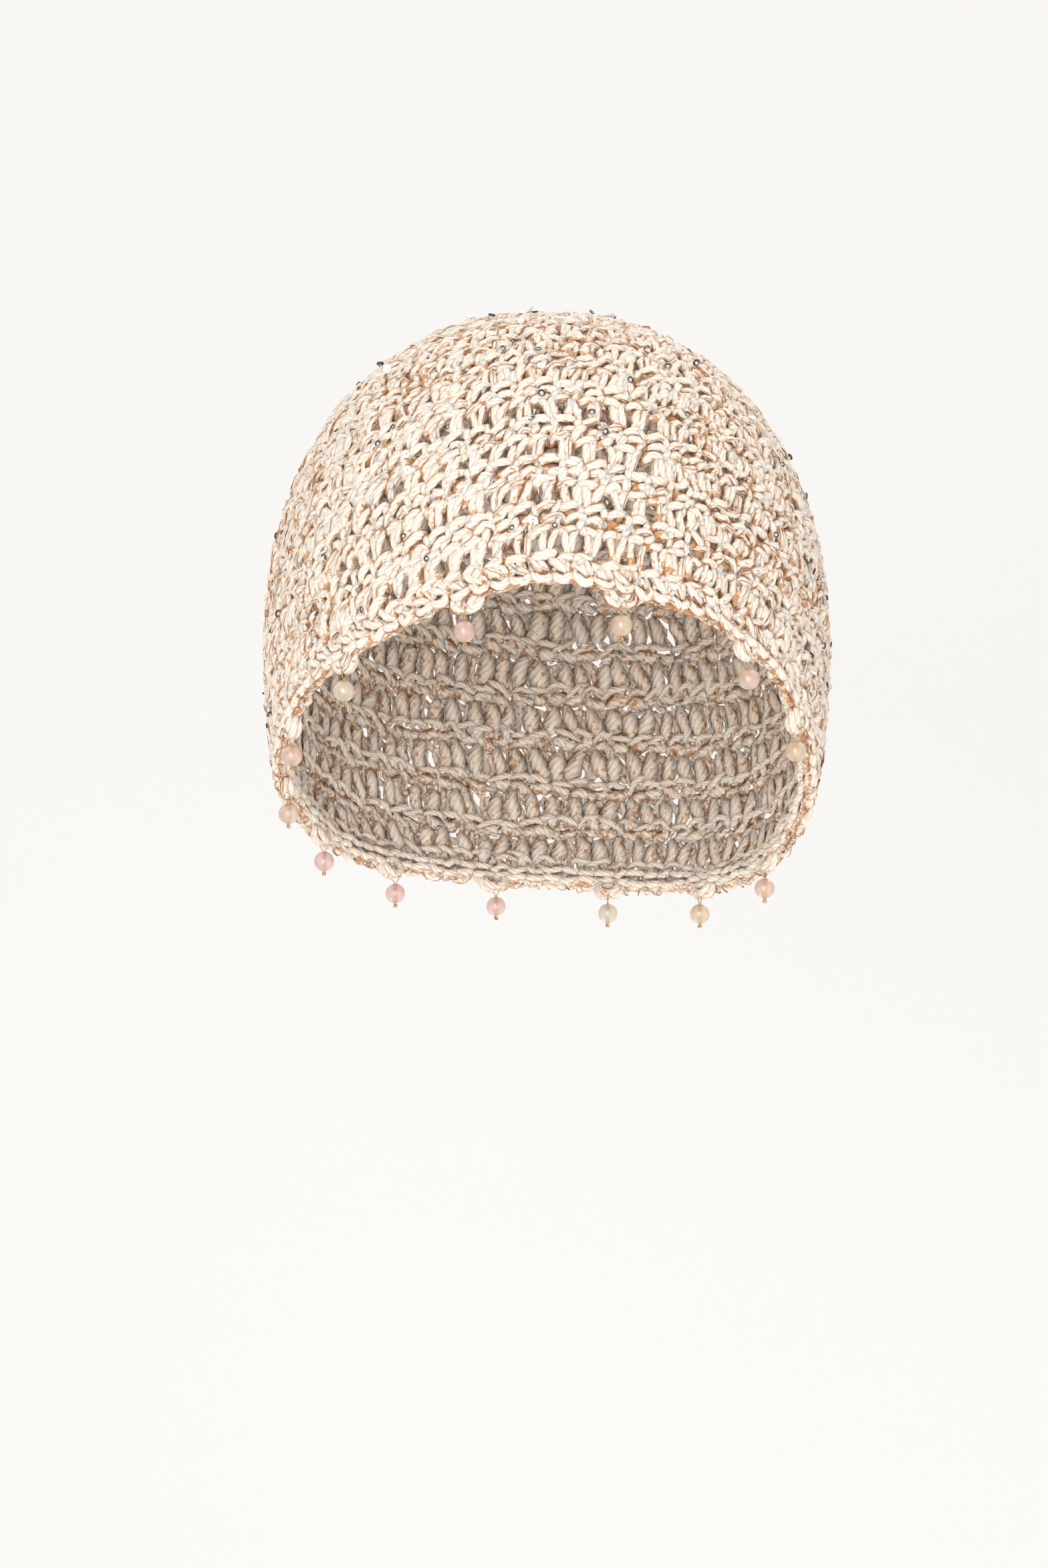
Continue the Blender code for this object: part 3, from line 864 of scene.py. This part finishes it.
PICOT = {
    # strand: (width, thickness, [(degrees from the lowest point, share of the ring, out in mm)])
    "left_arm": (2.7, 2.3, [
        (-155, 1.2, -0.8),
        (-105, 1.0, 0.1),
        (-60, 0.96, 0.5),
        (-28, 0.98, 0.4),
        (-2, 0.8, 0.2),
    ]),
    "right_arm": (2.7, 2.3, [
        (155, 1.2, -0.8),
        (105, 1.0, 0.1),
        (60, 0.98, 0.5),
        (30, 1.0, 0.5),
        (4, 0.78, 0.3),
    ]),
    "left_filler": (2.2, 1.9, [
        (-175, 1.7, 0.5),
        (-130, 0.8, 1.1),
        (-75, 0.5, 1.2),
        (-28, 0.6, 0.7),
    ]),
    "right_filler": (2.2, 1.9, [
        (170, 1.7, 0.8),
        (130, 0.7, 1.4),
        (75, 0.45, 1.4),
        (28, 0.58, 0.7),
    ]),
    "inner_loop": (2.0, 1.7, [
        (-160, 0.9, 0.2),
        (-90, 0.35, 0.5),
        (0, 0.5, 0.4),
        (90, 0.35, 0.5),
        (160, 0.9, 0.2),
    ]),
    "back_arm": (2.6, 2.2, [
        (-140, 0.9, -1.4),
        (-60, 0.8, -1.3),
        (0, 0.85, -1.0),
        (60, 0.8, -1.3),
        (140, 0.9, -1.4),
    ]),
}
picot_strands = {}
for kind, (width, thickness, rows) in PICOT.items():
    jitter = chance.normal(0, 1, (PICOTS, len(rows), 3)) * PICOT_JITTER
    path = smooth_path(np.array(rows) + jitter, PICOT_STEPS)
    angle = lowest_angle[:, None] + np.radians(path[..., 0])
    ring = across[:, None] * np.sin(angle)[..., None] + drop[:, None] * np.cos(angle)[..., None]
    lift = picot_out[:, None] * path[..., 2:] * MM
    centres = picot_centre[:, None] + ring * path[..., 1:2] + lift
    out = np.broadcast_to(picot_out[:, None], centres.shape)
    picot_strands[kind] = strand(centres, out, width * MM, thickness * MM, PICOT_HEIGHT * MM)
edging_sets += [sweep(laid) for laid in picot_strands.values()]
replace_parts(add_piece("edging_and_picots", edging_sets, cotton), "edging")
EDGING_THREADED = (0.3, 0.3)
PICOT_THREADED = (0.7, 0.5)
thread_sets = []
for kind in ("lower_arm", "upper_arm", "riser"):
    thread_sets += threads_in_yarn(edging_strands[kind], *EDGING_THREADED)
for kind in ("left_arm", "right_arm", "left_filler", "right_filler"):
    thread_sets += threads_in_yarn(picot_strands[kind], *PICOT_THREADED)
add_piece("rim_metallic_thread", thread_sets, copper)


# The sequins. Tiny cups of metallised film, pierced in the middle and threaded on the metallic
# thread, so that they lie on the stitches at every angle.
SEQUIN_SIDES = 12
SEQUIN_SIZES = (0.85, 1.25)
SEQUIN_TIP = 0.55
SEQUIN_REST = 0.35
SEQUIN_STRANDS = ["left_leg", "right_leg", "wrap", "slant", "bar", "front_loop"]
SEQUIN_PROFILE = [
    # distance from the middle, height, in shares of the radius
    (0.20, 0.00),
    (0.62, 0.03),
    (1.00, 0.34),
    (1.02, 0.28),
    (0.66, -0.06),
    (0.20, -0.08),
]
SEQUINS = [
    # name, how many, mean radius in mm, hex colour of the rim (on the silver ones a painted dark
    # reflection), metallic
    ("silver_sequins", 110, 0.92, "#4A4038", 1.0),
    ("pearl_sequins", 90, 1.15, "#F6F2EE", 0.1),
]


def scatter_sequins(number, radius):
    """Cups that rest on the outer strands, each tipped its own way."""
    angle = np.arange(SEQUIN_SIDES) / SEQUIN_SIDES * 2 * math.pi
    profile = np.array(SEQUIN_PROFILE)
    rings = len(profile)
    shape = np.stack([
        profile[:, :1] * np.cos(angle), profile[:, :1] * np.sin(angle), profile[:, 1:] + 0 * angle
    ], axis=-1).reshape(-1, 3)
    row = np.arange(rings)[:, None] * SEQUIN_SIDES
    next_row = (np.arange(rings)[:, None] + 1) % rings * SEQUIN_SIDES
    side = np.arange(SEQUIN_SIDES)[None, :]
    after = (side + 1) % SEQUIN_SIDES
    quads = np.stack([row + side, row + after, next_row + after, next_row + side], axis=-1)
    quads = quads.reshape(-1, 4)
    points = []
    for kind in chance.choice(SEQUIN_STRANDS, number):
        s = strands[kind]
        while True:
            path = chance.integers(len(s["centres"]))
            if stitch_round[path] >= 0:
                break
        step = chance.integers(2, s["centres"].shape[1] - 2)
        size = radius * MM * chance.uniform(*SEQUIN_SIZES)
        side_way = s["across"][path, step]
        over = s["over"][path, step]
        run = np.cross(over, side_way)
        tip = chance.normal(0, SEQUIN_TIP, 2)
        normal = unit(over + side_way * tip[0] + run * tip[1])
        first = unit(np.cross(normal, run))
        frame_ways = np.stack([first, np.cross(normal, first), normal])
        lift = s["half_thick"][path, step] + SEQUIN_REST * size
        rest = s["centres"][path, step] + over * lift
        points.append(shape * size @ frame_ways + rest)
    count = len(shape)
    uv = np.repeat(profile[quads // SEQUIN_SIDES, :1], 2, axis=2)
    uv = np.broadcast_to(uv, (number, *uv.shape)).reshape(-1, 2)
    quads = (quads[None] + np.arange(number)[:, None, None] * count).reshape(-1, 4)
    return {"points": np.concatenate(points), "quads": quads, "uv": uv}


for name, number, radius, hex_colour, metallic in SEQUINS:
    film = bpy.data.materials.new(name.replace("sequins", "metallised_film"))
    film.use_nodes = True
    tree = film.node_tree
    shader = tree.nodes["Principled BSDF"]
    uv = add_node(tree, "ShaderNodeUVMap", uv_map="yarn")
    split = add_node(tree, "ShaderNodeSeparateXYZ", {"Vector": uv.outputs["UV"]})
    # The film runs from white in the middle to the rim's colour; the silver sequins' dark rim is a
    # painted reflection.
    tint = add_node(tree, "ShaderNodeValToRGB", {"Fac": split.outputs["X"]})
    set_ramp(tint, [(0.3, "#FFFFFF"), (0.75, hex_colour)])
    tree.links.new(tint.outputs["Color"], shader.inputs["Base Color"])
    shader.inputs["Metallic"].default_value = metallic
    shader.inputs["Roughness"].default_value = 0.14
    shader.inputs["Coat Weight"].default_value = 0.6
    add_piece(name, [scatter_sequins(number, radius)], film)


# The beads. Round drilled beads of pale rose quartz, 6 mm across, tumbled smooth; the stone is
# cloudy, and runs from blush to pale straw.
BEAD_RADIUS = 0.003
BORE_RADIUS = 0.00065
BORE_NARROWING = 0.9
BORE_HALF_LENGTH = 0.0024
BEAD_SIDES = 32
BEAD_STEPS = 18
CLOUD_SIZE = 2.381
LIKE_BEADS_SPAN = 38.46

quartz = bpy.data.materials.new("tumbled_rose_quartz")
quartz.use_nodes = True
tree = quartz.node_tree
shader = tree.nodes["Principled BSDF"]
place = add_node(tree, "ShaderNodeTexCoord")
bead_to_bead = add_node(tree, "ShaderNodeTexNoise", {
    "Vector": place.outputs["Object"], "Scale": 1 / (LIKE_BEADS_SPAN * MM), "Detail": 0.0,
})
clouds = add_node(tree, "ShaderNodeTexNoise", {
    "Vector": place.outputs["Object"], "Scale": 1 / (CLOUD_SIZE * MM), "Detail": 3.0,
    "Distortion": 0.6,
})
mixed = add_node(
    tree, "ShaderNodeMath", {0: clouds.outputs["Fac"], 1: 0.2, 2: bead_to_bead.outputs["Fac"]},
    operation="MULTIPLY_ADD",
)
tint = add_node(tree, "ShaderNodeValToRGB", {"Fac": mixed.outputs[0]})
set_ramp(tint, [
    (0.5, "#F2D2C8"),
    (0.57, "#F0D3B8"),
    (0.62, "#EFDDC2"),
    (0.67, "#EAE6D8"),
    (0.73, "#F1CFB8"),
    (0.8, "#F0DAD0"),
])
tree.links.new(tint.outputs["Color"], shader.inputs["Base Color"])
shader.inputs["Subsurface Weight"].default_value = 0.7
shader.inputs["Subsurface Radius"].default_value = (0.0030, 0.0022, 0.0017)
shader.inputs["Subsurface Scale"].default_value = 1.0
shader.inputs["Transmission Weight"].default_value = 0.6
shader.inputs["Roughness"].default_value = 0.2
shader.inputs["IOR"].default_value = 1.54
shader.inputs["Coat Weight"].default_value = 1.0

mouth_angle = math.asin(BORE_RADIUS / BEAD_RADIUS)
arc = np.linspace(mouth_angle, math.pi - mouth_angle, BEAD_STEPS)
ring_radius = np.concatenate([np.sin(arc) * BEAD_RADIUS, np.full(2, BORE_RADIUS * BORE_NARROWING)])
ring_height = np.concatenate([np.cos(arc) * BEAD_RADIUS, [-BORE_HALF_LENGTH, BORE_HALF_LENGTH]])
ring_radius, ring_height = ring_radius[:, None], ring_height[:, None]
angle = np.arange(BEAD_SIDES) / BEAD_SIDES * 2 * math.pi
bead_shape = np.stack([
    ring_radius * np.cos(angle), ring_radius * np.sin(angle), ring_height + 0 * angle
], axis=-1).reshape(-1, 3)
ring = np.arange(len(ring_radius))[:, None] * BEAD_SIDES
next_ring = (np.arange(len(ring_radius))[:, None] + 1) % len(ring_radius) * BEAD_SIDES
side = np.arange(BEAD_SIDES)[None, :]
after = (side + 1) % BEAD_SIDES
bead_quads = np.stack([next_ring + side, next_ring + after, ring + after, ring + side], axis=-1)
bead_quads = bead_quads.reshape(-1, 4)
bead_places = []
for number in range(1, PICOTS + 1):
    low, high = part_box(f"bead_{number:02d}")
    bead_places.append([(a + b) / 2 for a, b in zip(low, high)])
    beads = {
        "points": bead_shape + bead_places[-1],
        "quads": bead_quads,
        "uv": np.zeros((bead_quads.size, 2)),
    }
    stone = add_piece(f"quartz_bead_{number:02d}", [beads], quartz)
    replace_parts(stone, f"bead_{number:02d}")


# The bead threads. Two strands of pale, softly shining gold thread of two plies, looped through the
# picot, down through the bead, and tied in a small tight knot just under the mouth of its hole.
GOLD_THREAD = 0.00036
GOLD_PLIES = 2
GOLD_TURN_LENGTH = 0.0014
THREAD_SHOWN = 0.0013
LOOP_SPREAD = 0.0009
STRAND_SPACING = 0.0005
KNOT_DROP = 0.00375
KNOT_WIDTH = 0.00018
KNOT_HEIGHT = 0.0004
KNOT_OPENING = 0.25
KNOT_STEPS = 46
LOOP_STEPS = 49
LOOP_SHOULDER = 0.75
LOOP_TOP = 1.05
MOUTH_HEIGHT = 0.95

gold = bpy.data.materials.new("pale_gold_thread")
gold.use_nodes = True
tree = gold.node_tree
shader = tree.nodes["Principled BSDF"]
uv = add_node(tree, "ShaderNodeUVMap", uv_map="yarn")
split = add_node(tree, "ShaderNodeSeparateXYZ", {"Vector": uv.outputs["UV"]})
twist = add_node(
    tree, "ShaderNodeMath",
    {0: split.outputs["X"], 1: 2 * math.pi * GOLD_PLIES / GOLD_TURN_LENGTH}, operation="MULTIPLY",
)
phase = add_node(
    tree, "ShaderNodeMath",
    {0: split.outputs["Y"], 1: 2 * math.pi * GOLD_PLIES, 2: twist.outputs[0]},
    operation="MULTIPLY_ADD",
)
wave = add_node(tree, "ShaderNodeMath", {0: phase.outputs[0]}, operation="SINE")
bump = add_node(
    tree, "ShaderNodeBump", {"Height": wave.outputs[0], "Strength": 0.7, "Distance": 0.00006}
)
tree.links.new(bump.outputs["Normal"], shader.inputs["Normal"])
shader.inputs["Base Color"].default_value = linear("#D9B98A")
shader.inputs["Metallic"].default_value = 0.8
shader.inputs["Roughness"].default_value = 0.3

up = np.array([0, 0, 1.0])
for number, bead in enumerate(np.array(bead_places), 1):
    index = number - 1
    level_way = across[index] * pull[index, 1] - drop[index] * pull[index, 0]
    level_way = unit(level_way * (1, 1, 0))
    outward = np.cross(level_way, up)
    top = bead + up * (PICOT_YARN / 2 + THREAD_SHOWN + BEAD_RADIUS)
    around = PICOT_YARN / 2 + GOLD_THREAD
    knot = bead - up * KNOT_DROP
    side_step = outward * STRAND_SPACING / 2
    spread = level_way * LOOP_SPREAD
    mouth = bead + up * BEAD_RADIUS * MOUTH_HEIGHT
    loop = np.array([
        knot + side_step,
        bead + side_step,
        mouth + side_step,
        top + outward * around + spread,
        top + (outward + up) * around * LOOP_SHOULDER + spread / 2,
        top + up * around * LOOP_TOP,
        top + (up - outward) * around * LOOP_SHOULDER - spread / 2,
        top - outward * around - spread,
        mouth - side_step,
        bead - side_step,
        knot - side_step,
    ])
    path = smooth_path(loop[None], LOOP_STEPS)
    t = np.linspace(KNOT_OPENING, 2 * math.pi - KNOT_OPENING, KNOT_STEPS)[:, None]
    tie = (
        level_way * (np.sin(t) + 2 * np.sin(2 * t)) * KNOT_WIDTH
        + outward * (np.cos(t) - 2 * np.cos(2 * t)) * KNOT_WIDTH
        - up * np.sin(3 * t) * KNOT_HEIGHT
        + knot
    )
    sets = []
    for line in (path, tie[None]):
        aside = np.broadcast_to(level_way * 0.6 + outward * 0.8, line.shape)
        sets.append(sweep(strand(line, aside, GOLD_THREAD, GOLD_THREAD, 0.0, 1.0)))
    cord = add_piece(f"gold_thread_{number:02d}", sets, gold)
    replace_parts(cord, f"bead_thread_{number:02d}")


# The studio. A pale paper floor that curves up into a backdrop, soft lights in front, low down,
# above and behind, and a level camera.
FLOOR_Z = -0.62
FLOOR_FRONT = -3.0
FLOOR_BACK = 1.2
FLOOR_HALF_WIDTH = 4.0
BACKDROP_CURVE = 1.0
BACKDROP_TOP = 4.0
AIM = Vector((0, 0, -0.08))
bends = np.linspace(0.1, math.pi / 2, 12)
profile = [(FLOOR_FRONT, 0.0), (FLOOR_BACK, 0.0)]
profile += [
    (FLOOR_BACK + BACKDROP_CURVE * math.sin(a), BACKDROP_CURVE * (1 - math.cos(a))) for a in bends
]
profile += [(FLOOR_BACK + BACKDROP_CURVE, BACKDROP_TOP)]
floor_mesh = bpy.data.meshes.new("paper_floor")
floor_mesh.from_pydata(
    [(x, y, FLOOR_Z + z) for y, z in profile for x in (-FLOOR_HALF_WIDTH, FLOOR_HALF_WIDTH)], [],
    [(2 * i, 2 * i + 1, 2 * i + 3, 2 * i + 2) for i in range(len(profile) - 1)],
)
floor_mesh.polygons.foreach_set("use_smooth", [True] * len(floor_mesh.polygons))
floor = bpy.data.objects.new("paper_floor", floor_mesh)
bpy.context.scene.collection.objects.link(floor)
paper = bpy.data.materials.new("matt_paper")
paper.use_nodes = True
shader = paper.node_tree.nodes["Principled BSDF"]
shader.inputs["Base Color"].default_value = linear("#FBFAF9")
shader.inputs["Roughness"].default_value = 0.9
floor_mesh.materials.append(paper)

world = bpy.data.worlds.new("studio")
world.use_nodes = True
world.node_tree.nodes["Background"].inputs["Color"].default_value = linear("#FFFEFC")
world.node_tree.nodes["Background"].inputs["Strength"].default_value = 0.74
bpy.context.scene.world = world

LIGHTS = [
    # name, place, size, watts
    ("key_light", (-0.5, -1.9, 0.45), 1.0, 12.0),
    ("fill_light", (0.9, -1.7, 0.1), 1.2, 5.0),
    ("low_light", (-0.2, -1.7, -0.42), 1.0, 11.0),
    ("top_light", (0.1, 0.2, 1.4), 1.4, 5.0),
    ("back_light", (0.4, 1.0, 0.95), 1.0, 4.0),
]
for name, place, size, watts in LIGHTS:
    lamp = bpy.data.lights.new(name, "AREA")
    lamp.size = size
    lamp.energy = watts
    light = bpy.data.objects.new(name, lamp)
    light.location = place
    light.rotation_euler = (AIM - Vector(place)).to_track_quat("-Z", "Y").to_euler()
    bpy.context.scene.collection.objects.link(light)

camera_data = bpy.data.cameras.new("camera")
camera_data.lens = 102.8
camera_data.sensor_width = 36.0
camera = bpy.data.objects.new("camera", camera_data)
camera.location = (-0.0067, -1.3, -0.1305)
camera.rotation_euler = (math.pi / 2, 0, 0)
bpy.context.scene.collection.objects.link(camera)
bpy.context.scene.camera = camera
bpy.context.scene.view_settings.view_transform = "Standard"
